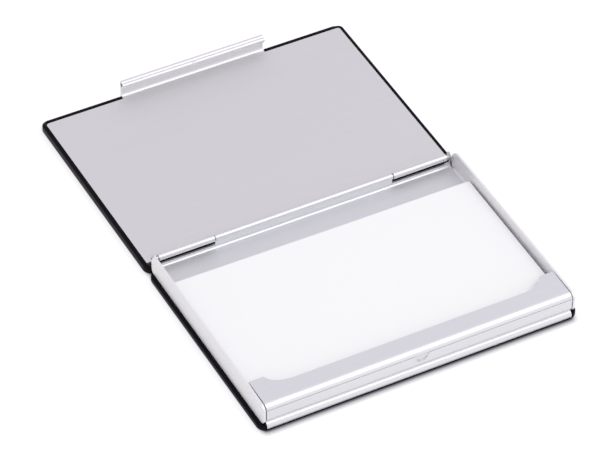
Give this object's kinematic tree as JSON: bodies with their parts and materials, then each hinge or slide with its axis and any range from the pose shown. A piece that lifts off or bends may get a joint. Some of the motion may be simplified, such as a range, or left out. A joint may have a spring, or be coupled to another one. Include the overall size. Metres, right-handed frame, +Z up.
{
  "type": "business card case",
  "caption": "Slim pocket case for business cards, thrown open: aluminium tray with a thumb cut-out, snap-lip lid on a full-width hinge, padded black covers.",
  "frame": {"origin": "middle of the flat underside of the tray's cover, on the table", "axes": "+X along the hinge, to the right seen from the thumb cut-out; +Y from the thumb cut-out over the hinge to the open lid; +Z up, out of the tray"},
  "size_m": [0.0952, 0.1355, 0.0088],
  "materials": {
    "aluminium": "fine brushed, satin",
    "end_cap": "finely grained, matt",
    "steel": "drawn wire",
    "leatherette": "black, fine grain, soft sheen",
    "padding": "thin foam",
    "board": "grey board",
    "card": "smooth white card"
  },
  "bodies": {
    "base": {"base_cover": "leatherette", "base_padding": "padding", "base_board": "board", "tray_shell": "aluminium", "left_end_cap": "end_cap", "right_end_cap": "end_cap", "hinge_pin": "steel"},
    "lid": {"lid_cover": "leatherette", "lid_padding": "padding", "lid_board": "board", "lid_shell": "aluminium"},
    "card_stack": {"card_1": "card", "card_2": "card", "card_3": "card", "card_4": "card", "card_5": "card", "card_6": "card", "card_7": "card", "card_8": "card"},
    "top_card": {"card_9": "card"}
  },
  "joints": [
    {"name": "lid_hinge", "type": "hinge", "parent": "base", "child": "lid", "pos_m": [0, 0.03327, 0.00605], "axis": [1, 0, 0], "range_deg": [0, 180]},
    {"name": "stack_slide", "type": "slide", "parent": "base", "child": "card_stack", "axis": [0, 1, 0], "range_m": [0, 0.008]},
    {"name": "top_card_slide", "type": "slide", "parent": "base", "child": "top_card", "axis": [0, 1, 0], "range_m": [0, 0.009]}
  ]
}
